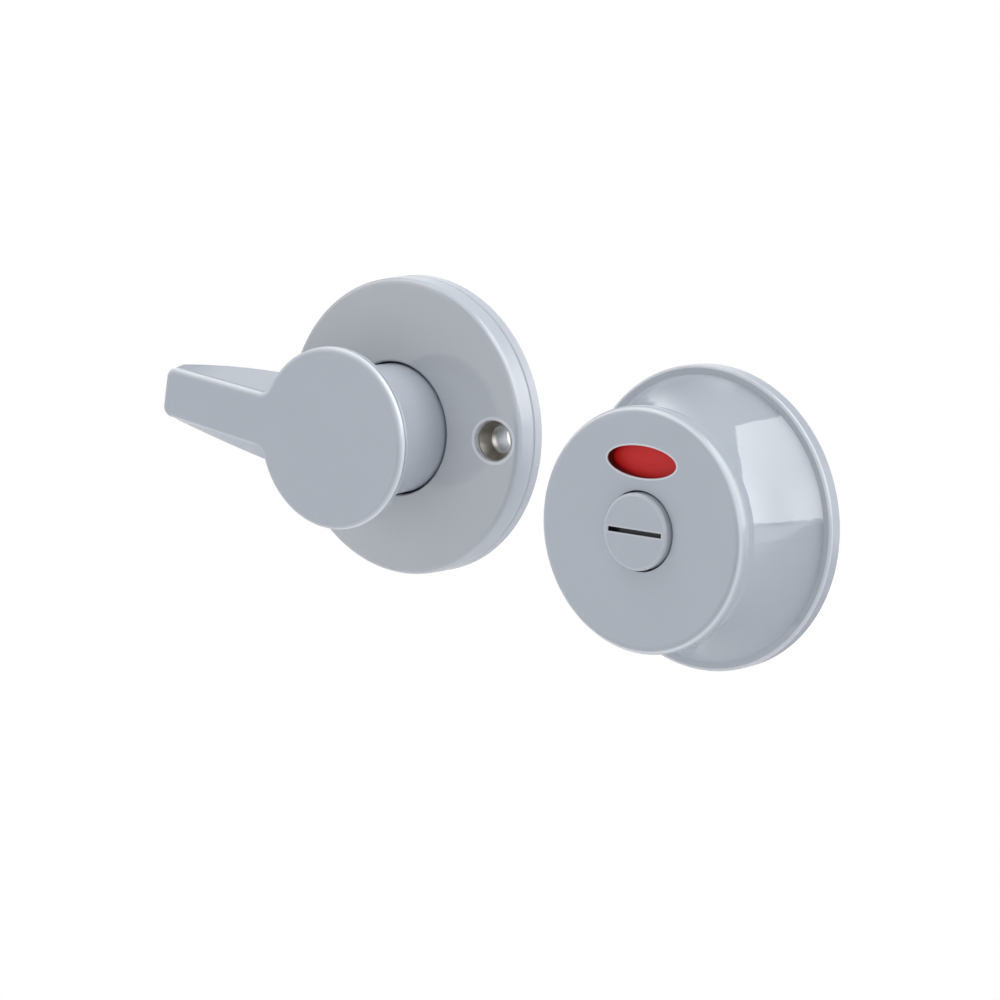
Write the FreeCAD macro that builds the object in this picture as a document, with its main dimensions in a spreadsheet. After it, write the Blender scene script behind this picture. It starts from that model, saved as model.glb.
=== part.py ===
import FreeCAD, Part
import os
import re
import Sketcher
from FreeCAD import Placement, Rotation, Vector

os.makedirs("parts", exist_ok=True)

# Sizes in millimetres, angles in degrees. Heights are measured outward from the door face.
SIZES = {
    # where the indicator half stands, seen from the turn half
    "indicator_right": 60.4,
    "indicator_down": 8.45,
    # gaps and fits
    "moving_gap": 0.3,
    "running_clearance": 0.05,
    "assembly_gap": 0.2,
    "spring_gap": 0.1,
    # turn rose
    "screw_edge": 5.0,
    "rose_height": 5.9,
    "rose_crown": 2.3,
    "rose_edge_round": 1.2,
    "rose_draft": 0.1,
    "rose_wall": 1.8,
    "rose_rim_wall": 2.0,
    "seam_chamfer": 0.25,
    "plate_thickness": 2.0,
    "spigot_height": 1.0,
    "collar_wall": 2.0,
    "hole_edge_round": 0.3,
    # fixing screws through the rose
    "screw_spacing": 40.0,
    "screw_clearance_diameter": 4.6,
    "cup_diameter": 7.0,
    "cup_mouth_diameter": 6.5,
    "cup_rise": 0.3,
    "cup_cone_depth": 2.1,
    "cup_boss_wall": 1.1,
    # thumb turn
    "neck_diameter": 21.7,
    "neck_top_diameter": 25.0,
    "neck_flare_radius": 60.0,
    "neck_gap": 0.35,
    "head_diameter": 30.3,
    "head_thickness": 1.1,
    "face_height": 25.0,
    "face_edge_round": 1.0,
    "cap_thickness": 1.3,
    "cap_seam": 0.2,
    "head_back_round": 0.6,
    "lever_reach": 36.6,
    "lever_drop": 0.5,
    "lever_back_drop": 0.25,
    "lever_bend_reach": 30.0,
    "lever_bend_width": 8.6,
    "lever_bend_back_width": 11.7,
    "lever_bend_depth": 4.0,
    "lever_root_inset": 5.0,
    "lever_root_width": 9.4,
    "lever_root_back_width": 16.6,
    "lever_root_depth": 5.5,
    "lever_tip_width": 8.4,
    "lever_tip_back_width": 9.1,
    "lever_tip_depth": 2.75,
    "lever_tip_round": 1.8,
    "lever_root_round": 2.5,
    "lever_lift_angle": 7.0,
    # shafts, bushes, springs and rings
    "hub_diameter": 12.0,
    "hub_top": 14.0,
    "hub_end_gap": 0.1,
    "spindle_square": 6.2,
    "spindle_depth": 11.0,
    "bush_wall": 1.15,
    "bush_flange_diameter": 16.0,
    "bush_flange_thickness": 0.6,
    "recess_diameter": 16.6,
    "recess_depth": 1.7,
    "ring_groove_depth": 0.6,
    "ring_width": 1.7,
    "ring_thickness": 0.5,
    "ring_opening_angle": 40.0,
    "ring_lip": 0.45,
    "spring_width": 1.4,
    "spring_gauge": 0.3,
    "spring_rise": 0.3,
    # stop of the thumb turn
    "turn_angle": 90.0,
    "stop_clearance_angle": 1.5,
    "lug_angle": 20.0,
    "lug_width": 1.0,
    "lug_inset": 0.25,
    "lug_drop": 1.3,
    "groove_depth": 0.95,
    # little screws that hold the back plates
    "plate_screw_edge": 5.0,
    "plate_screw_diameter": 2.2,
    "plate_screw_head_diameter": 4.6,
    "plate_screw_head": 0.9,
    "plate_screw_sink": 0.1,
    "plate_screw_boss_diameter": 7.0,
    "turn_screw_bite": 2.6,
    "indicator_screw_bite": 5.0,
    "drive_length": 2.6,
    "drive_width": 0.5,
    "drive_depth": 0.5,
    # indicator housing
    "rim_height": 2.4,
    "rim_wall": 1.5,
    "rim_edge_round": 0.5,
    "flange_inset": 1.5,
    "flare_radius": 27.0,
    "waist_diameter": 39.4,
    "waist_height": 16.0,
    "drum_diameter": 40.1,
    "drum_height": 19.95,
    "drum_edge_round": 1.4,
    "drum_edge_land": 0.5,
    "cavity_diameter": 34.8,
    "drum_face_wall": 1.6,
    "window_width": 13.7,
    "window_height": 5.2,
    "window_rise": 11.2,
    "window_shift": 0.0,
    "window_edge_round": 0.3,
    "back_plate_thickness": 1.5,
    # pressed nuts for the fixing screws
    "nut_body_diameter": 5.0,
    "nut_head_diameter": 6.0,
    "nut_head": 1.2,
    "nut_bore_diameter": 3.3,
    # release button and sign
    "button_diameter": 12.6,
    "button_gap": 0.3,
    "button_proud": 1.4,
    "button_edge_round": 0.5,
    "button_stem_diameter": 8.0,
    "button_stem_length": 5.0,
    "coin_slot_length": 10.6,
    "coin_slot_width": 0.8,
    "coin_slot_depth": 1.6,
    "sign_thickness": 0.8,
    "sign_gap": 0.3,
    "sign_rim_gap": 0.5,
    "stop_rib_angle": 12.0,
    "stop_rib_depth": 2.6,
    "stop_rib_height": 2.2,
    "stop_rib_overlap": 0.6,
}

doc = FreeCAD.newDocument("thumb_turn_lock")
dim = doc.addObject("Spreadsheet::Sheet", "dim")
for row, (alias, size) in enumerate(SIZES.items(), start=1):
    dim.set("A%d" % row, alias)
    dim.set("B%d" % row, str(size))
    dim.setAlias("B%d" % row, alias)
doc.recompute()

TURN = "placement(vector(0; 0; 0); rotation(vector(1; 0; 0); 90))"
LEVER = ("placement(vector(0; 0; 0); rotation(vector(1; 0; 0); 90)"
         " * rotation(vector(0; 0; 1); 0 - dim.lever_lift_angle))")
INDICATOR = ("placement(vector(dim.indicator_right; 0; 0 - dim.indicator_down);"
             " rotation(vector(1; 0; 0); 90))")
made = []


def cells(text):
    """Name the sheet in front of every size word of an expression."""
    return re.sub(r"[a-z][a-z_]+", r"dim.\g<0>", text)


def value(text):
    """Present value of an expression of size words."""
    return float(dim.evalExpression(cells(text)))


def new_body(label, place):
    """Start a sub-part; inside it x is right, y is up and z points out of the door."""
    body = doc.addObject("PartDesign::Body", label)
    body.Label = label
    body.AllowCompound = True
    body.setExpression("Placement", place)
    made.append(body)
    return body


def new_sketch(body, role, height="0", spin="0"):
    """Sketch on an origin plane, moved along its normal and spun about the part's axis."""
    plane = [item for item in body.Origin.OriginFeatures if item.Role == role][0]
    sketch = body.newObject("Sketcher::SketchObject", "sketch")
    sketch.AttachmentSupport = [(plane, "")]
    sketch.MapMode = "FlatFace"
    if height != "0":
        sketch.setExpression("AttachmentOffset.Base.z", cells(height))
    if spin != "0":
        sketch.AttachmentOffset = Placement(Vector(), Rotation(Vector(0, 1, 0), value(spin)))
        sketch.setExpression("AttachmentOffset.Rotation.Angle", cells(spin))
    return sketch


def bind(sketch, constraint, size):
    """Add a dimension and tie it to the sheet."""
    index = sketch.addConstraint(constraint)
    sketch.setExpression("Constraints[%d]" % index, cells(size))


def pin(sketch, shape, end, x, y):
    """Hold one point of a shape at sheet-driven coordinates."""
    for kind, size, axis in (("DistanceX", x, -2), ("DistanceY", y, -1)):
        if size == "0":
            sketch.addConstraint(Sketcher.Constraint("PointOnObject", shape, end, axis))
        else:
            bind(sketch, Sketcher.Constraint(kind, -1, 1, shape, end, value(size)), size)


def arc_between(start, end, radius):
    """Arc that bulges to the left of the way from start to end, drawn the way sketches count."""
    chord = end - start
    side = Vector(-chord.y, chord.x, 0).normalize()
    sag = radius - (radius ** 2 - (chord.Length / 2) ** 2) ** 0.5
    return Part.Arc(end, (start + end) / 2 + side * sag, start)


def loop(sketch, corners, arcs=None):
    """Closed outline through sheet-driven corners; arcs maps a corner to the radius after it."""
    arcs = arcs or {}
    spots = [Vector(value(x), value(y), 0) for x, y in corners]
    count = len(corners)
    first = sketch.GeometryCount
    ends = []
    for here in range(count):
        start = spots[here]
        end = spots[(here + 1) % count]
        if here in arcs:
            sketch.addGeometry(arc_between(start, end, value(arcs[here])), False)
            ends.append((2, 1))
        else:
            sketch.addGeometry(Part.LineSegment(start, end), False)
            ends.append((1, 2))
    for here in range(count):
        after = (here + 1) % count
        joint = (first + here, ends[here][1], first + after, ends[after][0])
        sketch.addConstraint(Sketcher.Constraint("Coincident", *joint))
    for here, (x, y) in enumerate(corners):
        pin(sketch, first + here, ends[here][0], x, y)
        if here in arcs:
            radius = Sketcher.Constraint("Radius", first + here, value(arcs[here]))
            bind(sketch, radius, arcs[here])


def circle(sketch, radius, x="0", y="0"):
    """Circle of a sheet-driven radius and place."""
    centre = Vector(value(x), value(y), 0)
    shape = sketch.addGeometry(Part.Circle(centre, Vector(0, 0, 1), value(radius)), False)
    pin(sketch, shape, 3, x, y)
    bind(sketch, Sketcher.Constraint("Radius", shape, value(radius)), radius)


def ellipse(sketch, width, height, x, y):
    """Lying ellipse of a sheet-driven size and place."""
    centre = Vector(value(x), value(y), 0)
    along = centre + Vector(value(width) / 2, 0, 0)
    across = centre + Vector(0, value(height) / 2, 0)
    shape = sketch.addGeometry(Part.Ellipse(along, across, centre), False)
    sketch.exposeInternalGeometry(shape)
    sketch.addConstraint(Sketcher.Constraint("Horizontal", shape + 1))
    pin(sketch, shape, 3, x, y)
    bind(sketch, Sketcher.Constraint("Distance", shape + 1, value(width)), width)
    bind(sketch, Sketcher.Constraint("Distance", shape + 2, value(height)), height)


def box(sketch, width, height):
    """Rectangle about the origin."""
    right, left = width + " / 2", "0 - " + width + " / 2"
    top, bottom = height + " / 2", "0 - " + height + " / 2"
    loop(sketch, [(right, bottom), (right, top), (left, top), (left, bottom)])


def turned(body, corners, arcs=None, angle="360", spin="0", cut=False):
    """Revolve an outline of (radius, height) corners, whole or as a sector, to add or cut."""
    sketch = new_sketch(body, "XZ_Plane", spin=spin)
    loop(sketch, corners, arcs)
    feature = body.newObject("PartDesign::Groove" if cut else "PartDesign::Revolution", "turned")
    feature.Profile = sketch
    feature.ReferenceAxis = (sketch, ["V_Axis"])
    feature.setExpression("Angle", cells(angle))
    feature.Midplane = angle != "360"
    doc.recompute()
    return feature


def pad(body, sketch, length):
    """Add the sketch outward."""
    feature = body.newObject("PartDesign::Pad", "pad")
    feature.Profile = sketch
    feature.setExpression("Length", cells(length))
    doc.recompute()
    return feature


def pocket(body, sketch, depth, inward=True):
    """Cut the sketch toward the door, or outward."""
    feature = body.newObject("PartDesign::Pocket", "pocket")
    feature.Profile = sketch
    feature.setExpression("Length", cells(depth))
    feature.Reversed = not inward
    doc.recompute()
    return feature


def pair(body, features, count="2"):
    """Repeat features about the part's axis."""
    feature = body.newObject("PartDesign::PolarPattern", "pair")
    feature.Originals = features
    axis = [item for item in body.Origin.OriginFeatures if item.Role == "Z_Axis"][0]
    feature.Axis = (axis, [""])
    feature.Angle = 360
    feature.Occurrences = int(count)
    body.Tip = feature
    doc.recompute()
    return feature


def round_off(body, chosen, radius, kind="Fillet"):
    """Fillet or chamfer the edges of the part so far that a test picks."""
    base = body.Tip
    names = ["Edge%d" % n for n, edge in enumerate(base.Shape.Edges, start=1) if chosen(edge)]
    feature = body.newObject("PartDesign::" + kind, kind.lower())
    feature.Base = (base, names)
    feature.setExpression("Radius" if kind == "Fillet" else "Size", cells(radius))
    doc.recompute()
    return feature


def at_height(height):
    """Test for edges that lie wholly at one height."""
    level = value(height)
    return lambda edge: max(abs(edge.BoundBox.ZMin - level), abs(edge.BoundBox.ZMax - level)) < 1e-4


def ring_at(height, radius):
    """Test for the full circle about the part's axis of one height and radius."""
    level = at_height(height)
    size = value(radius)

    def chosen(edge):
        if not level(edge) or not isinstance(edge.Curve, Part.Circle):
            return False
        return edge.Curve.Center.sub(Vector(0, 0, edge.Curve.Center.z)).Length < 1e-4 \
            and abs(edge.Curve.Radius - size) < 1e-4
    return chosen


# Heights and radii that several sub-parts share, as expressions of the sizes.
ROSE_R = "(screw_spacing / 2 + screw_edge)"
SPIGOT_TOP = "(plate_thickness + spigot_height)"
CAVITY_R = "(" + ROSE_R + " - rose_rim_wall)"
CAVITY_TOP = "(rose_height - rose_wall)"
NECK_HOLE_R = "(neck_diameter / 2 + neck_gap)"
CROWN_TOP = "(rose_height + rose_crown)"
CUP_TOP = "(rose_height + cup_rise)"
SCREW_X = "(screw_spacing / 2)"
PLATE_SCREW_Y = "(" + ROSE_R + " - plate_screw_edge)"
HUB_R = "(hub_diameter / 2)"
BUSH_BORE_R = "(hub_diameter / 2 + running_clearance)"
BUSH_R = "(hub_diameter / 2 + running_clearance + bush_wall)"
BUSH_FLANGE_TOP = "(plate_thickness + spigot_height + bush_flange_thickness)"
NECK_BASE = "(plate_thickness + spigot_height + bush_flange_thickness + spring_gap)"
CAP_BASE = "(face_height - cap_thickness)"
HEAD_BACK = "(face_height - cap_thickness - head_thickness)"
RING_R = "(hub_diameter / 2 - ring_groove_depth)"
TURN_RING_Z = "(hub_end_gap + ring_lip)"
BACK_R = "(" + ROSE_R + " - rim_wall)"
RING_Z = "(back_plate_thickness + bush_flange_thickness + spring_gap + spring_gauge + spring_rise)"
FACE_BACK = "(drum_height - drum_face_wall)"
SIGN_TOP = "(drum_height - drum_face_wall - sign_gap)"
SIGN_BASE = "(drum_height - drum_face_wall - sign_gap - sign_thickness)"
BUTTON_TOP = "(drum_height + button_proud)"
STEM_BASE = "(drum_height - drum_face_wall - sign_gap - button_stem_length)"


def holes(body, radius, start, depth, sideways=True, inward=False):
    """Two round holes either side of the axis, level or upright, cut from a height."""
    sketch = new_sketch(body, "XY_Plane", start)
    for sign in ("", "0 - "):
        if sideways:
            circle(sketch, radius, x=sign + SCREW_X)
        else:
            circle(sketch, radius, y=sign + PLATE_SCREW_Y)
    return pocket(body, sketch, depth, inward)


def bosses(body, radius, start, length, sideways=True):
    """Two round bosses either side of the axis, level or upright."""
    sketch = new_sketch(body, "XY_Plane", start)
    for sign in ("", "0 - "):
        if sideways:
            circle(sketch, radius, x=sign + SCREW_X)
        else:
            circle(sketch, radius, y=sign + PLATE_SCREW_Y)
    return pad(body, sketch, length)


def rose_cover():
    body = new_body("turn_rose_cover", TURN)
    turned(body, [
        (ROSE_R, "plate_thickness + seam_chamfer"),
        (ROSE_R + " - rose_draft", "rose_height"),
        (NECK_HOLE_R, CROWN_TOP),
        (NECK_HOLE_R, SPIGOT_TOP + " + assembly_gap + bush_flange_thickness"),
        (NECK_HOLE_R + " + collar_wall", SPIGOT_TOP + " + assembly_gap + bush_flange_thickness"),
        (NECK_HOLE_R + " + collar_wall", CAVITY_TOP),
        (CAVITY_R, CAVITY_TOP),
        (CAVITY_R, "plate_thickness"),
        (ROSE_R + " - seam_chamfer", "plate_thickness"),
    ])
    round_off(body, ring_at("rose_height", ROSE_R + " - rose_draft"), "rose_edge_round")
    boss_length = CAVITY_TOP + " - " + SPIGOT_TOP + " + assembly_gap"
    bosses(body, "cup_diameter / 2 + cup_boss_wall", SPIGOT_TOP, boss_length)
    bosses(body, "plate_screw_boss_diameter / 2", SPIGOT_TOP, boss_length, sideways=False)
    holes(body, "cup_diameter / 2", SPIGOT_TOP, CROWN_TOP)
    holes(body, "plate_screw_diameter / 2", SPIGOT_TOP, "turn_screw_bite", sideways=False)
    mouths = [screw_mouth, ring_at(CROWN_TOP, NECK_HOLE_R)]
    round_off(body, lambda edge: any(test(edge) for test in mouths), "hole_edge_round")


def screw_mouth(edge):
    """Test for the front edge of a screw hole in the rose cover."""
    box = edge.BoundBox
    wide = abs(box.YLength - value("cup_diameter")) < 0.01
    return wide and abs(abs(box.Center.x) - value(SCREW_X)) < 0.5 and box.ZMin > value("rose_height") - 1


def turn_back_plate():
    body = new_body("turn_back_plate", TURN)
    turned(body, [
        (ROSE_R, "0"),
        (ROSE_R, "plate_thickness - seam_chamfer"),
        (ROSE_R + " - seam_chamfer", "plate_thickness"),
        (CAVITY_R + " - assembly_gap", "plate_thickness"),
        (CAVITY_R + " - assembly_gap", SPIGOT_TOP),
        (BUSH_R, SPIGOT_TOP),
        (BUSH_R, "recess_depth"),
        ("recess_diameter / 2", "recess_depth"),
        ("recess_diameter / 2", "0"),
    ])
    holes(body, "screw_clearance_diameter / 2", "0", SPIGOT_TOP)
    holes(body, "plate_screw_diameter / 2 + assembly_gap", "0", SPIGOT_TOP, sideways=False)
    sunk = "plate_screw_head + plate_screw_sink"
    holes(body, "plate_screw_head_diameter / 2 + assembly_gap", "0", sunk, sideways=False)
    lug_out = "neck_diameter / 2 - lug_inset"
    groove_in = lug_out + " - lug_width - moving_gap"
    turned(body, [
        (groove_in, SPIGOT_TOP + " - groove_depth"),
        (lug_out + " + moving_gap", SPIGOT_TOP + " - groove_depth"),
        (lug_out + " + moving_gap", SPIGOT_TOP + " + assembly_gap"),
        (groove_in, SPIGOT_TOP + " + assembly_gap"),
    ], angle="turn_angle + lug_angle + 2 * stop_clearance_angle", spin="180 - turn_angle / 2", cut=True)


def screw_cups():
    body = new_body("screw_cups", TURN)
    blank = bosses(body, "cup_diameter / 2", SPIGOT_TOP, CUP_TOP + " - " + SPIGOT_TOP)
    cone = new_sketch(body, "XZ_Plane")
    axis = Part.LineSegment(Vector(value(SCREW_X), 0, 0), Vector(value(SCREW_X), 9, 0))
    line = cone.addGeometry(axis, True)
    pin(cone, line, 1, SCREW_X, "0")
    pin(cone, line, 2, SCREW_X, "9")
    loop(cone, [
        (SCREW_X, "0"),
        (SCREW_X + " + screw_clearance_diameter / 2", "0"),
        (SCREW_X + " + screw_clearance_diameter / 2", CUP_TOP + " - cup_cone_depth"),
        (SCREW_X + " + cup_mouth_diameter / 2", CUP_TOP),
        (SCREW_X + " + cup_mouth_diameter / 2", CUP_TOP + " + 1"),
        (SCREW_X, CUP_TOP + " + 1"),
    ])
    bore = body.newObject("PartDesign::Groove", "bore")
    bore.Profile = cone
    bore.ReferenceAxis = (cone, ["Axis0"])
    bore.Angle = 360
    doc.recompute()
    pair(body, [bore])


def plate_screws(label, place, plate, bite):
    """Two small cheese-head screws, driven in from the back."""
    body = new_body(label, place)
    bosses(body, "plate_screw_head_diameter / 2", "plate_screw_sink", "plate_screw_head", sideways=False)
    length = plate + " - plate_screw_sink + " + bite
    bosses(body, "plate_screw_diameter / 2", "plate_screw_sink", length, sideways=False)
    for width, height in (("drive_length", "drive_width"), ("drive_width", "drive_length")):
        sketch = new_sketch(body, "XY_Plane", "plate_screw_sink")
        for sign in ("", "0 - "):
            side = " / 2"
            low, high = "0 - " + width + side, width + side
            centre = sign + PLATE_SCREW_Y
            loop(sketch, [
                (low, centre + " - " + height + side),
                (high, centre + " - " + height + side),
                (high, centre + " + " + height + side),
                (low, centre + " + " + height + side),
            ])
        pocket(body, sketch, "drive_depth", inward=False)


def bush(label, place, base, step):
    """Flanged bearing bush: sleeve in the plate, flange on its outer side."""
    body = new_body(label, place)
    turned(body, [
        (BUSH_BORE_R, base),
        (BUSH_R, base),
        (BUSH_R, step),
        ("bush_flange_diameter / 2", step),
        ("bush_flange_diameter / 2", step + " + bush_flange_thickness"),
        (BUSH_BORE_R, step + " + bush_flange_thickness"),
    ])


def socket_in(body):
    """Square hole for the spindle, from the door side."""
    sketch = new_sketch(body, "XY_Plane", "hub_end_gap")
    box(sketch, "spindle_square", "spindle_square")
    pocket(body, sketch, "spindle_depth", inward=False)


def turn_hub():
    body = new_body("turn_hub", LEVER)
    turned(body, [
        ("0", "hub_end_gap"),
        (HUB_R, "hub_end_gap"),
        (HUB_R, TURN_RING_Z),
        (RING_R, TURN_RING_Z),
        (RING_R, TURN_RING_Z + " + ring_thickness"),
        (HUB_R, TURN_RING_Z + " + ring_thickness"),
        (HUB_R, "hub_top"),
        ("0", "hub_top"),
    ])
    socket_in(body)


def retaining_ring(label, place, height):
    """Open snap ring that sits in the groove of a hub."""
    body = new_body(label, place)
    sketch = new_sketch(body, "XY_Plane", height)
    circle(sketch, RING_R + " + ring_width")
    circle(sketch, RING_R)
    pad(body, sketch, "ring_thickness")
    turned(body, [
        (RING_R + " - 1", height + " - 1"),
        (RING_R + " + ring_width + 1", height + " - 1"),
        (RING_R + " + ring_width + 1", height + " + ring_thickness + 1"),
        (RING_R + " - 1", height + " + ring_thickness + 1"),
    ], angle="ring_opening_angle", spin="90", cut=True)


def disc_spring(label, place, height):
    """Coned spring washer that keeps the moving group snug."""
    body = new_body(label, place)
    inner = HUB_R + " + assembly_gap"
    outer = inner + " + spring_width"
    turned(body, [
        (inner, height),
        (outer, height + " + spring_rise"),
        (outer, height + " + spring_rise + spring_gauge"),
        (inner, height + " + spring_gauge"),
    ])


def lever_section(body, x, front, back, depth):
    """Upright section of the lever: narrow in front, wider toward the door."""
    sketch = new_sketch(body, "YZ_Plane", "0 - " + x)
    loop(sketch, [
        ("0 - lever_drop - " + front + " / 2", CAP_BASE),
        (front + " / 2 - lever_drop", CAP_BASE),
        (back + " / 2 - lever_drop - lever_back_drop", "face_height - " + depth),
        ("0 - lever_drop - lever_back_drop - " + back + " / 2", "face_height - " + depth),
    ])
    return sketch


def upright_at(radius, far):
    """Test for the upright edges near the lever root or at the lever tip."""
    size = value(radius)
    reach = value("lever_reach")

    def chosen(edge):
        middle = edge.CenterOfMass
        if edge.BoundBox.ZLength < 0.8 or middle.x > -value("lever_root_inset"):
            return False
        if far:
            return abs(middle.x + reach) < 0.5 and edge.BoundBox.YLength < 1.0
        return abs((middle.x ** 2 + middle.y ** 2) ** 0.5 - size) < 0.5 and middle.x > -size \
            and edge.BoundBox.XLength < 2.0 and abs(middle.y) > 2
    return chosen


def thumb_turn():
    body = new_body("thumb_turn", LEVER)
    neck_r = "neck_diameter / 2"
    head_r = "head_diameter / 2"
    turned(body, [
        (HUB_R, NECK_BASE),
        (neck_r, NECK_BASE),
        (neck_r, CROWN_TOP),
        ("neck_top_diameter / 2", HEAD_BACK),
        (head_r, HEAD_BACK),
        (head_r, CAP_BASE),
        ("0", CAP_BASE),
        ("0", "hub_top"),
        (HUB_R, "hub_top"),
    ], arcs={2: "neck_flare_radius"})
    round_off(body, ring_at(HEAD_BACK, head_r), "head_back_round")
    root = lever_section(body, "lever_root_inset", "lever_root_width", "lever_root_back_width",
                         "lever_root_depth")
    bend = lever_section(body, "lever_bend_reach", "lever_bend_width", "lever_bend_back_width",
                         "lever_bend_depth")
    tip = lever_section(body, "lever_reach", "lever_tip_width", "lever_tip_back_width",
                        "lever_tip_depth")
    loft = body.newObject("PartDesign::AdditiveLoft", "lever")
    loft.Profile = root
    loft.Sections = [bend, tip]
    loft.Ruled = False
    doc.recompute()
    round_off(body, upright_at(head_r, far=True), "lever_tip_round")
    round_off(body, at_height(CAP_BASE), "cap_seam", "Chamfer")
    lug_out = "neck_diameter / 2 - lug_inset"
    turned(body, [
        (lug_out + " - lug_width", NECK_BASE + " - lug_drop"),
        (lug_out, NECK_BASE + " - lug_drop"),
        (lug_out, NECK_BASE + " + 1"),
        (lug_out + " - lug_width", NECK_BASE + " + 1"),
    ], angle="lug_angle", spin="180")


def turn_cap():
    body = new_body("turn_cap", LEVER)
    disc = new_sketch(body, "XY_Plane", CAP_BASE)
    circle(disc, "head_diameter / 2")
    pad(body, disc, "cap_thickness")
    arm = new_sketch(body, "XY_Plane", CAP_BASE)
    loop(arm, [
        ("0 - lever_root_inset", "0 - lever_drop - lever_root_width / 2"),
        ("0 - lever_root_inset", "lever_root_width / 2 - lever_drop"),
        ("0 - lever_reach", "lever_tip_width / 2 - lever_drop"),
        ("0 - lever_reach", "0 - lever_drop - lever_tip_width / 2"),
    ])
    pad(body, arm, "cap_thickness")
    round_off(body, upright_at("head_diameter / 2", far=True), "lever_tip_round")
    round_off(body, upright_at("head_diameter / 2", far=False), "lever_root_round")
    round_off(body, at_height("face_height"), "face_edge_round")
    round_off(body, at_height(CAP_BASE), "cap_seam", "Chamfer")


def indicator_housing():
    body = new_body("indicator_housing", INDICATOR)
    turned(body, [
        (BACK_R + " + assembly_gap / 2", "0"),
        (ROSE_R, "0"),
        (ROSE_R, "rim_height"),
        (ROSE_R + " - flange_inset", "rim_height"),
        ("waist_diameter / 2", "waist_height"),
        ("drum_diameter / 2", "drum_height - drum_edge_round - drum_edge_land"),
        ("drum_diameter / 2", "drum_height"),
        ("button_diameter / 2 + button_gap", "drum_height"),
        ("button_diameter / 2 + button_gap", FACE_BACK),
        ("cavity_diameter / 2", FACE_BACK),
        ("cavity_diameter / 2", "back_plate_thickness"),
        (BACK_R + " + assembly_gap / 2", "back_plate_thickness"),
    ], arcs={3: "flare_radius"})
    round_off(body, ring_at("drum_height", "drum_diameter / 2"), "drum_edge_round")
    round_off(body, ring_at("rim_height", ROSE_R), "rim_edge_round")
    nut_room = "nut_head_diameter / 2 + assembly_gap / 2"
    holes(body, nut_room, "back_plate_thickness", "nut_head + assembly_gap")
    holes(body, "plate_screw_diameter / 2", "back_plate_thickness", "indicator_screw_bite", sideways=False)
    view = new_sketch(body, "XY_Plane", "drum_height")
    ellipse(view, "window_width", "window_height", "window_shift", "window_rise")
    pocket(body, view, "drum_face_wall")
    cavity_r = "cavity_diameter / 2"
    turned(body, [
        (cavity_r + " - stop_rib_depth", FACE_BACK + " - stop_rib_height"),
        (cavity_r + " + stop_rib_overlap", FACE_BACK + " - stop_rib_height"),
        (cavity_r + " + stop_rib_overlap", FACE_BACK + " + stop_rib_overlap"),
        (cavity_r + " - stop_rib_depth", FACE_BACK + " + stop_rib_overlap"),
    ], angle="stop_rib_angle", spin="180 + turn_angle / 2")


def indicator_back_plate():
    body = new_body("indicator_back_plate", INDICATOR)
    disc = new_sketch(body, "XY_Plane")
    circle(disc, BACK_R)
    circle(disc, BUSH_R)
    pad(body, disc, "back_plate_thickness")
    holes(body, "nut_body_diameter / 2", "0", "back_plate_thickness")
    holes(body, "plate_screw_diameter / 2 + assembly_gap", "0", "back_plate_thickness", sideways=False)
    sunk = "plate_screw_head + plate_screw_sink"
    holes(body, "plate_screw_head_diameter / 2 + assembly_gap", "0", sunk, sideways=False)


def press_nuts():
    body = new_body("press_nuts", INDICATOR)
    bosses(body, "nut_body_diameter / 2", "0", "back_plate_thickness + nut_head")
    bosses(body, "nut_head_diameter / 2", "back_plate_thickness", "nut_head")
    holes(body, "nut_bore_diameter / 2", "0", "back_plate_thickness + nut_head")


def release_hub():
    body = new_body("release_hub", INDICATOR)
    turned(body, [
        ("0", "hub_end_gap"),
        (HUB_R, "hub_end_gap"),
        (HUB_R, RING_Z),
        (RING_R, RING_Z),
        (RING_R, RING_Z + " + ring_thickness"),
        (HUB_R, RING_Z + " + ring_thickness"),
        (HUB_R, SIGN_BASE),
        ("button_stem_diameter / 2", SIGN_BASE),
        ("button_stem_diameter / 2", STEM_BASE),
        ("0", STEM_BASE),
    ])
    socket_in(body)


def sign_disc():
    body = new_body("sign_disc", INDICATOR)
    disc = new_sketch(body, "XY_Plane", SIGN_BASE)
    rim = "cavity_diameter / 2 - sign_rim_gap"
    circle(disc, rim)
    circle(disc, "button_stem_diameter / 2")
    pad(body, disc, "sign_thickness")
    notch_in = "cavity_diameter / 2 - stop_rib_depth - moving_gap"
    turned(body, [
        (notch_in, SIGN_BASE + " - 1"),
        (rim + " + 1", SIGN_BASE + " - 1"),
        (rim + " + 1", SIGN_TOP + " + 1"),
        (notch_in, SIGN_TOP + " + 1"),
    ], angle="turn_angle + stop_rib_angle + 2 * stop_clearance_angle", spin="180", cut=True)


def release_button():
    body = new_body("release_button", INDICATOR)
    turned(body, [
        ("0", STEM_BASE),
        ("button_stem_diameter / 2", STEM_BASE),
        ("button_stem_diameter / 2", SIGN_TOP),
        ("button_diameter / 2", SIGN_TOP),
        ("button_diameter / 2", BUTTON_TOP),
        ("0", BUTTON_TOP),
    ])
    round_off(body, ring_at(BUTTON_TOP, "button_diameter / 2"), "button_edge_round")
    slot = new_sketch(body, "XY_Plane", BUTTON_TOP)
    box(slot, "coin_slot_length", "coin_slot_width")
    pocket(body, slot, "coin_slot_depth")


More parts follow.
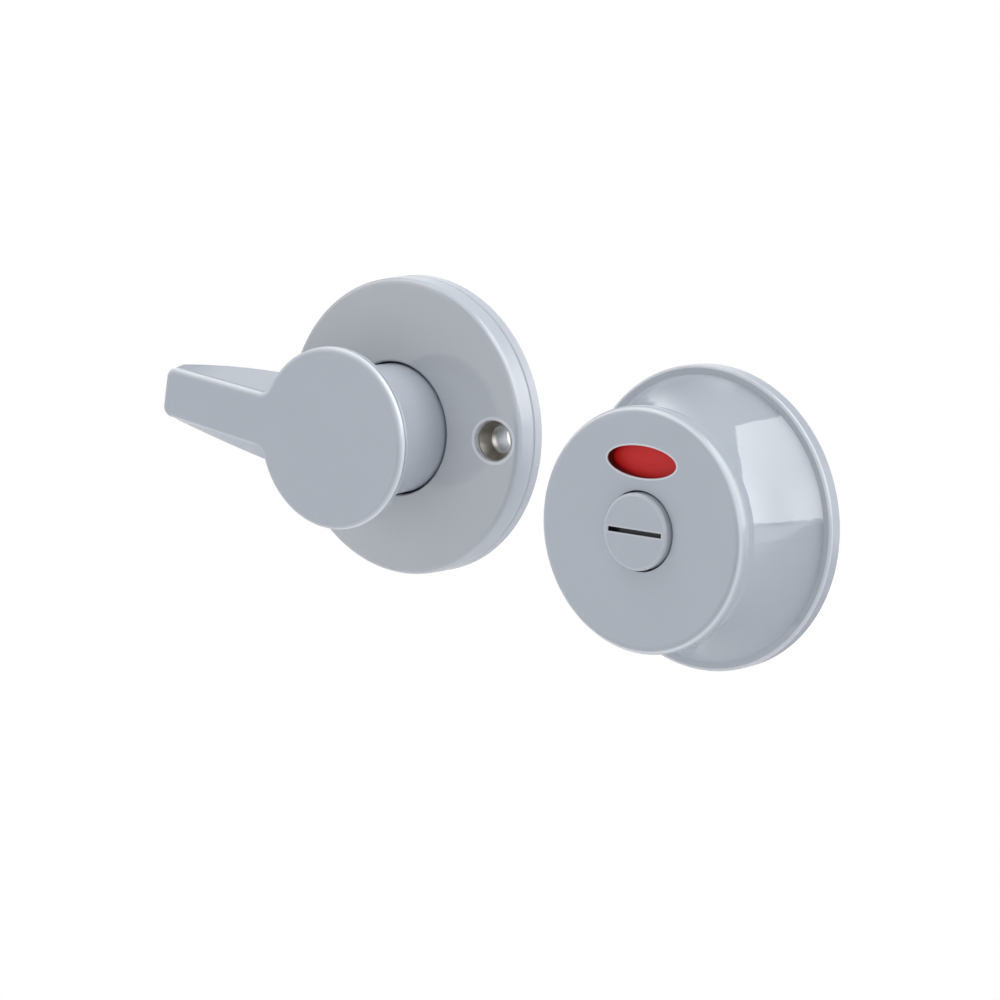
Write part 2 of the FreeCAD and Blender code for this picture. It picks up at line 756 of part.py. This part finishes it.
rose_cover()
turn_back_plate()
screw_cups()
plate_screws("turn_plate_screws", TURN, SPIGOT_TOP, "turn_screw_bite")
bush("turn_bush", TURN, "recess_depth", SPIGOT_TOP)
turn_hub()
disc_spring("turn_disc_spring", LEVER, TURN_RING_Z + " + ring_thickness")
retaining_ring("turn_retaining_ring", LEVER, TURN_RING_Z)
thumb_turn()
turn_cap()
indicator_housing()
indicator_back_plate()
press_nuts()
plate_screws("indicator_plate_screws", INDICATOR, "back_plate_thickness", "indicator_screw_bite")
bush("release_bush", INDICATOR, "0", "back_plate_thickness")
release_hub()
disc_spring("release_disc_spring", INDICATOR,
            "back_plate_thickness + bush_flange_thickness + spring_gap")
retaining_ring("release_retaining_ring", INDICATOR, RING_Z)
sign_disc()
release_button()
doc.recompute()

for item in doc.Objects:
    if "Invalid" in item.State or "Error" in item.State:
        raise RuntimeError("failed: %s in %s" % (item.Label, item.getParentGeoFeatureGroup().Label))
for body in made:
    if body.Shape.isNull() or not body.Shape.isValid():
        raise RuntimeError("bad shape: " + body.Label)
    body.Shape.exportStep("parts/%s.step" % body.Label)
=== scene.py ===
import math

import bpy
from mathutils import Matrix, Vector


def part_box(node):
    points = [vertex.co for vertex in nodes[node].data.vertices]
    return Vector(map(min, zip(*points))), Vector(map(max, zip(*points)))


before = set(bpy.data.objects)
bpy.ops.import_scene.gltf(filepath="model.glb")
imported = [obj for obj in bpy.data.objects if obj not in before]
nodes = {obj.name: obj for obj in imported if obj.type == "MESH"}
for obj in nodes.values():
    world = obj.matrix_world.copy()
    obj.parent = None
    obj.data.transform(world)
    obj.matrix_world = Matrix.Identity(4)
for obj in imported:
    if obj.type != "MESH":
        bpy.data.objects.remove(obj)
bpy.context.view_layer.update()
scene = bpy.context.scene

# Places and sizes read from the frame, in metres; the front of the lock faces negative Y
housing_low, housing_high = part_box("indicator_housing")
button_low, button_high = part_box("release_button")
_, rose_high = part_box("turn_rose_cover")
_, cups_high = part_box("screw_cups")
cap_low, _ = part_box("turn_cap")
TURN_MIDDLE = (0.0, 0.0)
INDICATOR_X = (housing_low.x + housing_high.x) / 2
INDICATOR_Z = (housing_low.z + housing_high.z) / 2
INDICATOR_MIDDLE = (INDICATOR_X, INDICATOR_Z)
ROSE_RADIUS = rose_high.x
RIM_RADIUS = housing_high.x - INDICATOR_X
DRUM_FACE = housing_low.y
BUTTON_RADIUS = button_high.x - INDICATOR_X
BUTTON_FACE = button_low.y
CAP_FACE = cap_low.y
CUP_RADIUS = cups_high.z
SCREW_X = cups_high.x - CUP_RADIUS

# Other places and sizes on the parts, in metres
ROSE_EDGE = -0.0059
ROSE_SIDE_DEPTH = 0.0005
RIM_FACE = -0.0024
RIM_ROUND = 0.0005
DRUM_ROUND = 0.0014
DRUM_LINE_RADIUS = 0.01964
DRUM_LINE_HALF_WIDTH = 0.0004
BUTTON_ROUND = 0.0005
CAP_ROUND = 0.0007
WINDOW_RISE = 0.0112
WINDOW_HALF_WIDTH = 0.00685
WINDOW_HALF_HEIGHT = 0.0026
SLOT_HALF_LENGTH = 0.0054
SLOT_HALF_WIDTH = 0.00045
SIGN_HUB_RADIUS = 0.0078

# How far colour and polish reach past those places, in metres
FACE_SKIN = 0.0002
WINDOW_SLACK = 0.0001
WINDOW_LIP = 0.0003
SLOT_LIP = 0.0002
CUP_LIP = 0.0005
CUP_LIP_DEPTH = 0.0015
ROSE_SATIN_DEPTH = 0.0008
DRUM_SATIN_DEPTH = 0.0005
FLARE_POLISH_DEPTH = 0.0022

# Finishes: roughness and how uneven it is, index of refraction, height of fine marks in metres,
# share of clouds against grain in a plastic's colour, and angle of a sharp edge
SATIN = 0.2
POLISH = 0.03
PLASTIC_IOR = 1.8
ACETAL_IOR = 1.48
CLOUD_SHARE = 0.7
PLASTIC_UNEVEN = 0.03
RING_UNEVEN = 0.08
TURNED_UNEVEN = 0.08
SHEET_UNEVEN = 0.12
SIGN_MATT = 0.42
SIGN_UNEVEN = 0.06
MARK_HEIGHT = 0.00002
SHARP_ANGLE = math.radians(32)

# Light of the room, and how bright its ceiling, the floor, the sides and the backdrop look in reflections
COOL_TINT = (0.96, 0.98, 1.0)
ROOM_LIGHT = 0.56
CEILING_MIRRORED = 0.12
FLOOR_MIRRORED = 0.85
NEAR_MIRRORED = 0.15
BACK_MIRRORED = 1.0
WHITE = (1.0, 1.0, 1.0, 1.0)

# Colour of the warm lamp that reflections show on the left of the ceiling
CEILING_LAMP = (1.0, 0.96, 0.88, 1.0)

# Start and end of each change of the mirrored room, as parts of a direction of length 1
CEILING_BAND = (0.25, 0.6)
BACK_TOP_BAND = (0.3, 0.65)
BACK_BAND = (0.5, 0.8)
SIDE_BAND = (0.2, 0.4)
LAMP_BAND = (-0.25, -0.4)

# The floor, and start and end of each change of its mirrored colour, in metres
FLOOR_SIZE = 30
FLOOR_HEIGHT = -0.22
FLOOR_RIGHT_BAND = (-0.4, 0.1)
FLOOR_BACK_BAND = (0.4, 0.9)
PAPER_DARK = (0.93, 0.93, 0.93, 1.0)
PAPER_LIGHT = (0.95, 0.95, 0.95, 1.0)

# The camera: angles in degrees, lens and sensor in millimetres, the rest in metres
CAMERA_AZIMUTH = 37.87
CAMERA_ELEVATION = 9.43
CAMERA_ROLL = 1.49
CAMERA_DISTANCE = 1.0
CAMERA_RIGHT = 0.012736
CAMERA_DOWN = 0.012919
CAMERA_LENS = 214.29
CAMERA_SENSOR = 36
CAMERA_NEAREST = 0.01
CAMERA_FARTHEST = 50


class Wire:
    """A value in a shader; plain arithmetic on it adds Math nodes."""

    def __init__(self, graph, socket):
        self.graph = graph
        self.socket = socket

    def math(self, operation, *others):
        return self.graph.math(operation, self, *others)

    def __add__(self, other):
        return self.math("ADD", other)

    def __sub__(self, other):
        return self.math("SUBTRACT", other)

    def __mul__(self, other):
        return self.math("MULTIPLY", other)

    def __truediv__(self, other):
        return self.math("DIVIDE", other)

    def __radd__(self, other):
        return self.graph.math("ADD", other, self)

    def __rsub__(self, other):
        return self.graph.math("SUBTRACT", other, self)

    def __rmul__(self, other):
        return self.graph.math("MULTIPLY", other, self)

    def __rtruediv__(self, other):
        return self.graph.math("DIVIDE", other, self)


class Graph:
    """The nodes of one material or of the world."""

    def __init__(self, owner):
        owner.use_nodes = True
        self.tree = owner.node_tree
        self.tree.nodes.clear()

    def add(self, kind, inputs=None, out=0, **settings):
        """New node with its settings, then its values or links; gives one of its outputs."""
        node = self.tree.nodes.new(kind)
        for name, setting in settings.items():
            setattr(node, name, setting)
        for name, given in (inputs or {}).items():
            if isinstance(given, Wire):
                self.tree.links.new(given.socket, node.inputs[name])
            else:
                node.inputs[name].default_value = given
        return Wire(self, node.outputs[out] if node.outputs else None)

    def math(self, operation, *values):
        """One Math node."""
        return self.add("ShaderNodeMath", dict(enumerate(values)), operation=operation)

    def mix(self, factor, first, second):
        """Blend of two colours, whose sockets on the node are numbers 6 and 7."""
        return self.add("ShaderNodeMix", {0: factor, 6: first, 7: second}, out=2, data_type="RGBA")

    def ramp(self, value, start, end, first=0.0, last=1.0):
        """First until the value is at the start, last from the end on, and even between."""
        return self.add("ShaderNodeMapRange", {0: value, 1: start, 2: end, 3: first, 4: last})

    def noise(self, place, scale, detail=2.0):
        """Noise from 0 to 1, so many times a metre."""
        return self.add("ShaderNodeTexNoise", {"Vector": place, "Scale": scale, "Detail": detail})

    def marks(self, height, strength):
        """Normal of very fine marks."""
        return self.add("ShaderNodeBump", {"Strength": strength, "Distance": MARK_HEIGHT, "Height": height})

    def place(self, kind="Object"):
        """Point on the part in metres, or direction in the world, and its three values."""
        point = self.add("ShaderNodeTexCoord", out=kind)
        parts = [self.add("ShaderNodeSeparateXYZ", {"Vector": point}, out=axis) for axis in "XYZ"]
        return point, parts

    def shown(self, kind, shader, mirrored):
        """White to the camera and through glass, the mirrored colour in reflections, else the shader."""
        camera = self.add("ShaderNodeLightPath", out="Is Camera Ray")
        glass = self.add("ShaderNodeLightPath", out="Is Transmission Ray")
        glossy = self.add("ShaderNodeLightPath", out="Is Glossy Ray")
        in_mirror = self.add(kind, {"Color": mirrored, "Strength": 1.0})
        in_view = self.add(kind, {"Color": WHITE, "Strength": 1.0})
        inner = self.add("ShaderNodeMixShader", {0: glossy, 1: shader, 2: in_mirror})
        is_seen = (camera + glass).math("MINIMUM", 1.0)
        return self.add("ShaderNodeMixShader", {0: is_seen, 1: inner, 2: in_view})

    def surface(self, shader):
        self.add("ShaderNodeOutputMaterial", {"Surface": shader})


def rgb(red, green, blue):
    """Display colour from 0 to 255 as a linear one."""
    def linear(channel):
        share = channel / 255
        return share / 12.92 if share <= 0.04045 else ((share + 0.055) / 1.055) ** 2.4
    return (linear(red), linear(green), linear(blue), 1.0)


def cool_white(level):
    """Cool white of the room at some brightness."""
    return (*(share * level for share in COOL_TINT), 1.0)


def new_graph(name):
    material = bpy.data.materials.new(name)
    return material, Graph(material)


def distance(x, z, middle):
    """Distance from a middle, seen from the front."""
    across = x - middle[0]
    upward = z - middle[1]
    return (across * across + upward * upward).math("SQRT")


def in_window(x, z, margin):
    """1 inside the sign window's outline grown by a margin, else 0."""
    across = (x - INDICATOR_X) / (WINDOW_HALF_WIDTH + margin)
    upward = (z - (INDICATOR_Z + WINDOW_RISE)) / (WINDOW_HALF_HEIGHT + margin)
    return (across * across + upward * upward).math("LESS_THAN", 1.0)


def window_wall_painted_shade(x, y, z):
    """1 on the walls of the sign window, where painted shade darkens them, else 0."""
    return in_window(x, z, WINDOW_SLACK) * y.math("GREATER_THAN", DRUM_FACE + FACE_SKIN)


def window_lip_painted_highlight(x, y, z):
    """1 on the face close round the sign window, where a painted highlight lies, else 0."""
    return in_window(x, z, WINDOW_LIP) * y.math("LESS_THAN", DRUM_FACE + FACE_SKIN)


def drum_line_painted_highlight(x, y, z):
    """Painted highlight: 1 on a thin line round the rounded edge of the drum, falling to 0 beside it."""
    off = (distance(x, z, INDICATOR_MIDDLE) - DRUM_LINE_RADIUS).math("ABSOLUTE")
    line = (1.0 - off / DRUM_LINE_HALF_WIDTH).math("MAXIMUM", 0.0)
    return line * y.math("LESS_THAN", DRUM_FACE + DRUM_ROUND)


def rim_lip_painted_highlight(x, y, z):
    """1 on the rounded front edge of the housing's rim, where a painted highlight lies, else 0."""
    outer = distance(x, z, INDICATOR_MIDDLE).math("GREATER_THAN", RIM_RADIUS - RIM_ROUND)
    return outer * y.math("LESS_THAN", RIM_FACE + RIM_ROUND)


def button_lip_painted_highlight(x, y, z):
    """1 on the front edge of the button, where a painted highlight lies, else 0."""
    outer = distance(x, z, INDICATOR_MIDDLE).math("GREATER_THAN", BUTTON_RADIUS - BUTTON_ROUND)
    return outer * y.math("LESS_THAN", BUTTON_FACE + BUTTON_ROUND)


def in_slot(x, z, margin):
    """1 inside the coin slot's outline grown by a margin, else 0."""
    across = (x - INDICATOR_X).math("ABSOLUTE").math("LESS_THAN", SLOT_HALF_LENGTH + margin)
    upward = (z - INDICATOR_Z).math("ABSOLUTE").math("LESS_THAN", SLOT_HALF_WIDTH + margin)
    return across * upward


def slot_painted_shade(x, y, z):
    """1 on the walls and floor of the coin slot, where painted shade darkens them, else 0."""
    return in_slot(x, z, 0.0) * y.math("GREATER_THAN", BUTTON_FACE + FACE_SKIN)


def slot_lip_painted_highlight(x, y, z):
    """1 on the button's face close round the coin slot, where a painted highlight lies, else 0."""
    return in_slot(x, z, SLOT_LIP) * y.math("LESS_THAN", BUTTON_FACE + FACE_SKIN)


def cap_edge_painted_highlight(x, y, z):
    """Painted highlight: 0 on the face of the turn's cap, rising to 1 round its edge."""
    return ((y - CAP_FACE) / CAP_ROUND).math("MINIMUM", 1.0)


def cup_lip_painted_highlight(x, y, z):
    """1 on the plastic close round each screw cup, where a painted highlight lies, else 0."""
    near = distance(x.math("ABSOLUTE"), z, (SCREW_X, 0.0)).math("LESS_THAN", CUP_RADIUS + CUP_LIP)
    return near * y.math("LESS_THAN", ROSE_EDGE + CUP_LIP_DEPTH)


def rose_side_painted_highlight(x, y, z):
    """1 on the outer side of the turn's rose, where a painted highlight lies, else 0."""
    return distance(x, z, TURN_MIDDLE).math("GREATER_THAN", ROSE_RADIUS - ROSE_SIDE_DEPTH)


def rose_polish(graph, y):
    """Roughness of the rose: glossy on its front, satin round its edge."""
    return graph.ramp(y, ROSE_EDGE, ROSE_EDGE + ROSE_SATIN_DEPTH, POLISH, SATIN)


def flare_polish(graph, y):
    """Roughness of the drum: glossy on the flare, satin on its face."""
    return graph.ramp(y, DRUM_FACE + FLARE_POLISH_DEPTH, DRUM_FACE + DRUM_SATIN_DEPTH, POLISH, SATIN)


def moulded_plastic(name, dark, light, gloss=SATIN, ior=PLASTIC_IOR, painted=(), polished=None):
    """Moulded plastic: faint clouding, fine grain, glossier where the mould was polished, with any painted
    highlights and painted shade laid over its colour.
    """
    material, graph = new_graph(name)
    point, (x, y, z) = graph.place()
    cloud = graph.noise(point, scale=90.0, detail=3.0)
    grain = graph.noise(point, scale=5200.0)
    colour = graph.mix(cloud * CLOUD_SHARE + grain * (1.0 - CLOUD_SHARE), dark, light)
    if polished:
        gloss = polished(graph, y)
    # Lay painted highlights and painted shade over the colour, one mask at a time
    for where, paint in painted:
        colour = graph.mix(where(x, y, z), colour, paint)
    graph.surface(graph.add("ShaderNodeBsdfPrincipled", {
        "Base Color": colour,
        "Roughness": gloss + cloud * PLASTIC_UNEVEN,
        "IOR": ior,
        "Normal": graph.marks(grain, strength=0.06),
    }))
    return material


def turned_metal(name, dark, light, gloss, middles, pitch):
    """Lathe-turned metal with rings about the nearest of some middles."""
    material, graph = new_graph(name)
    point, (x, _, z) = graph.place()
    radius = distance(x, z, middles[0])
    for middle in middles[1:]:
        radius = radius.math("MINIMUM", distance(x, z, middle))
    rings = (radius * (math.tau / pitch)).math("SINE") * 0.5 + 0.5
    cloud = graph.noise(point, scale=700.0, detail=3.0)
    graph.surface(graph.add("ShaderNodeBsdfPrincipled", {
        "Base Color": graph.mix(cloud, dark, light),
        "Metallic": 1.0,
        "Roughness": gloss + rings * RING_UNEVEN + cloud * TURNED_UNEVEN,
        "Normal": graph.marks(rings, strength=0.12),
    }))
    return material


def sheet_metal(name, dark, light, gloss):
    """Plated sheet or small steel: mottled tone and gloss."""
    material, graph = new_graph(name)
    point, _ = graph.place()
    mottle = graph.noise(point, scale=420.0, detail=4.0)
    grain = graph.noise(point, scale=4200.0)
    graph.surface(graph.add("ShaderNodeBsdfPrincipled", {
        "Base Color": graph.mix(mottle, dark, light),
        "Metallic": 1.0,
        "Roughness": gloss + mottle * SHEET_UNEVEN,
        "Normal": graph.marks(grain, strength=0.1),
    }))
    return material


def sign_paint(name, hub):
    """Sign disc: one half red, the other white, meeting on a slanting line, round a dark hub."""
    material, graph = new_graph(name)
    point, (x, _, z) = graph.place()
    is_red = ((z - INDICATOR_Z) - (x - INDICATOR_X)).math("GREATER_THAN", 0.0)
    is_hub = distance(x, z, INDICATOR_MIDDLE).math("LESS_THAN", SIGN_HUB_RADIUS)
    cloud = graph.noise(point, scale=500.0)
    red = graph.mix(cloud, rgb(208, 12, 14), rgb(218, 16, 18))
    white = graph.mix(cloud, rgb(228, 228, 224), rgb(238, 238, 235))
    graph.surface(graph.add("ShaderNodeBsdfPrincipled", {
        "Base Color": graph.mix(is_hub, graph.mix(is_red, white, red), hub),
        "Roughness": SIGN_MATT + cloud * SIGN_UNEVEN,
    }))
    return material


# Colours of the plastics, painted highlights for their edges, painted shade for their recesses, and the
# sign's hub
GREY_DARK = rgb(166, 172, 181)
GREY_LIGHT = rgb(172, 178, 187)
ROSE_DARK = rgb(172, 176, 182)
ROSE_LIGHT = rgb(178, 182, 188)
# Painted highlights, pale colours laid on edges where light catches them
SOFT_PAINTED_HIGHLIGHT = rgb(184, 189, 197)
PALE_PAINTED_HIGHLIGHT = rgb(198, 202, 209)
BRIGHT_PAINTED_HIGHLIGHT = rgb(214, 218, 225)
# Painted shade, a dark colour laid on the sign window's walls
PAINTED_WINDOW_SHADE = rgb(48, 12, 14)
# Painted shade, a dark colour laid in the coin slot
PAINTED_SLOT_SHADE = rgb(34, 35, 38)
HUB_SHADE = rgb(30, 31, 34)

# Painted highlights and painted shade on each part; each paint lies over those before it
CAP_PAINTED_HIGHLIGHTS = [(cap_edge_painted_highlight, BRIGHT_PAINTED_HIGHLIGHT)]
ROSE_PAINTED_HIGHLIGHTS = [(cup_lip_painted_highlight, PALE_PAINTED_HIGHLIGHT), (rose_side_painted_highlight, SOFT_PAINTED_HIGHLIGHT)]
DRUM_PAINTED_LIGHT_AND_SHADE = [(window_wall_painted_shade, PAINTED_WINDOW_SHADE), (window_lip_painted_highlight, PALE_PAINTED_HIGHLIGHT),
              (drum_line_painted_highlight, BRIGHT_PAINTED_HIGHLIGHT), (rim_lip_painted_highlight, PALE_PAINTED_HIGHLIGHT)]
BUTTON_PAINTED_LIGHT_AND_SHADE = [(slot_lip_painted_highlight, SOFT_PAINTED_HIGHLIGHT), (button_lip_painted_highlight, SOFT_PAINTED_HIGHLIGHT), (slot_painted_shade, PAINTED_SLOT_SHADE)]
NUT_MIDDLES = [(INDICATOR_X - SCREW_X, INDICATOR_Z), (INDICATOR_X + SCREW_X, INDICATOR_Z)]

grey = moulded_plastic("grey_plastic", GREY_DARK, GREY_LIGHT)
# The cap, rose, drum and button plastics carry painted highlights, and the drum and button painted shade as
# well
cap = moulded_plastic("cap_plastic", GREY_DARK, GREY_LIGHT, painted=CAP_PAINTED_HIGHLIGHTS)
rose = moulded_plastic("rose_plastic", ROSE_DARK, ROSE_LIGHT, painted=ROSE_PAINTED_HIGHLIGHTS, polished=rose_polish)
drum = moulded_plastic("drum_plastic", GREY_DARK, GREY_LIGHT, painted=DRUM_PAINTED_LIGHT_AND_SHADE, polished=flare_polish)
button = moulded_plastic("button_plastic", GREY_DARK, GREY_LIGHT, painted=BUTTON_PAINTED_LIGHT_AND_SHADE)
acetal = moulded_plastic("bush_acetal", rgb(224, 221, 210), rgb(232, 229, 219), gloss=0.35, ior=ACETAL_IOR)
cups = sheet_metal("cup_steel", rgb(190, 184, 176), rgb(212, 206, 198), gloss=0.3)
hubs = turned_metal("hub_steel", rgb(160, 160, 158), rgb(182, 182, 180), gloss=0.28,
                    middles=[TURN_MIDDLE, INDICATOR_MIDDLE], pitch=0.00022)
brass = turned_metal("nut_brass", rgb(186, 150, 84), rgb(204, 170, 104), gloss=0.26,
                     middles=NUT_MIDDLES, pitch=0.0002)
zinc = sheet_metal("zinc_sheet", rgb(138, 139, 139), rgb(164, 165, 165), gloss=0.3)
screw = sheet_metal("screw_steel", rgb(150, 150, 146), rgb(178, 178, 172), gloss=0.28)
spring = sheet_metal("spring_steel", rgb(84, 84, 86), rgb(106, 106, 108), gloss=0.32)
sign = sign_paint("sign_paint", HUB_SHADE)

LOOKS = {
    grey: ["thumb_turn"],
    cap: ["turn_cap"],
    rose: ["turn_rose_cover", "turn_back_plate"],
    drum: ["indicator_housing"],
    button: ["release_button"],
    acetal: ["turn_bush", "release_bush"],
    cups: ["screw_cups"],
    hubs: ["turn_hub", "release_hub"],
    brass: ["press_nuts"],
    zinc: ["indicator_back_plate"],
    screw: ["turn_plate_screws", "indicator_plate_screws"],
    spring: ["turn_disc_spring", "release_disc_spring", "turn_retaining_ring", "release_retaining_ring"],
    sign: ["sign_disc"],
}


def dress(name, material):
    """Material and even shading for one node of the lock."""
    mesh = nodes[name].data
    mesh.materials.clear()
    mesh.materials.append(material)
    mesh.shade_smooth()
    mesh.set_sharp_from_angle(angle=SHARP_ANGLE)
    even = nodes[name].modifiers.new("even_shading", "WEIGHTED_NORMAL")
    even.keep_sharp = True


def pale_floor():
    """Paper floor under the lock, white in view and graded in reflections."""
    bpy.ops.mesh.primitive_plane_add(size=FLOOR_SIZE, location=(0, 0, FLOOR_HEIGHT))
    floor = bpy.context.object
    floor.name = "floor"
    material, graph = new_graph("pale_floor")
    point, (x, y, _) = graph.place()
    tone = graph.mix(graph.noise(point, scale=3.0), PAPER_DARK, PAPER_LIGHT)
    paper = graph.add("ShaderNodeBsdfDiffuse", {"Color": tone})
    rightward = graph.ramp(x, *FLOOR_RIGHT_BAND)
    behind = graph.ramp(y, *FLOOR_BACK_BAND)
    front = graph.mix(rightward, cool_white(FLOOR_MIRRORED), cool_white(NEAR_MIRRORED))
    mirrored = graph.mix(behind, front, cool_white(BACK_MIRRORED))
    graph.surface(graph.shown("ShaderNodeEmission", paper, mirrored))
    floor.data.materials.append(material)


def studio_world():
    """Room round the lock, white in view and graded in reflections."""
    world = bpy.data.worlds.new("studio")
    scene.world = world
    graph = Graph(world)
    light = graph.add("ShaderNodeBackground", {"Color": cool_white(ROOM_LIGHT), "Strength": 1.0})
    _, (rightward, backward, upward) = graph.place("Generated")
    rising = graph.ramp(upward, *CEILING_BAND)
    low = graph.ramp(upward, *BACK_TOP_BAND, 1.0, 0.0)
    behind = low * graph.ramp(backward, *BACK_BAND)
    beside = graph.ramp(backward, *SIDE_BAND)
    leftward = graph.ramp(rightward, *LAMP_BAND)
    ceiling = graph.mix(leftward, cool_white(CEILING_MIRRORED), CEILING_LAMP)
    front = graph.mix(rising, cool_white(FLOOR_MIRRORED), ceiling)
    sides = graph.mix(beside, front, cool_white(NEAR_MIRRORED))
    mirrored = graph.mix(behind, sides, cool_white(BACK_MIRRORED))
    graph.add("ShaderNodeOutputWorld", {"Surface": graph.shown("ShaderNodeBackground", light, mirrored)})


def softbox(name, place, target, size, power, lit=True, mirrored=True):
    """Lamp that lights surfaces, shows in reflections, or both."""
    lamp = bpy.data.lights.new(name, "AREA")
    lamp.shape = "RECTANGLE"
    lamp.size, lamp.size_y = size
    lamp.energy = power
    item = bpy.data.objects.new(name, lamp)
    scene.collection.objects.link(item)
    item.location = place
    item.rotation_euler = (Vector(target) - Vector(place)).to_track_quat("-Z", "Y").to_euler()
    item.visible_diffuse = lit
    item.visible_glossy = mirrored


def photo_camera():
    """Camera where the photograph was taken from."""
    azimuth = math.radians(CAMERA_AZIMUTH)
    elevation = math.radians(CAMERA_ELEVATION)
    roll = math.radians(CAMERA_ROLL)
    back = Vector((math.sin(azimuth) * math.cos(elevation),
                   -math.cos(azimuth) * math.cos(elevation), math.sin(elevation)))
    flat_right = Vector((math.cos(azimuth), math.sin(azimuth), 0))
    flat_up = back.cross(flat_right)
    right = flat_right * math.cos(roll) + flat_up * math.sin(roll)
    up = flat_up * math.cos(roll) - flat_right * math.sin(roll)
    data = bpy.data.cameras.new("photo_camera")
    data.sensor_fit = "HORIZONTAL"
    data.sensor_width = CAMERA_SENSOR
    data.lens = CAMERA_LENS
    data.clip_start = CAMERA_NEAREST
    data.clip_end = CAMERA_FARTHEST
    camera = bpy.data.objects.new("photo_camera", data)
    scene.collection.objects.link(camera)
    turn = Matrix((right, up, back)).transposed().to_4x4()
    place = back * CAMERA_DISTANCE + right * CAMERA_RIGHT - up * CAMERA_DOWN
    camera.matrix_world = Matrix.Translation(place) @ turn
    scene.camera = camera


for material, names in LOOKS.items():
    for name in names:
        dress(name, material)
pale_floor()
studio_world()
softbox("key_above", place=(-0.3, -0.05, 0.95), target=(0, 0, 0), size=(0.9, 0.7), power=6.8, mirrored=False)
softbox("side_right", place=(0.72, 0.36, 0.5), target=(0, 0, 0), size=(0.5, 0.6), power=5.0, mirrored=False)
softbox("front_fill", place=(0.2, -1.05, 0.05), target=(0.03, 0, 0), size=(0.8, 0.6), power=1.6,
        mirrored=False)
softbox("side_window", place=(0.95, 0.36, 0.74), target=(0.06, 0, 0), size=(1.5, 1.75), power=19.0, lit=False)
photo_camera()
scene.view_settings.view_transform = "Standard"
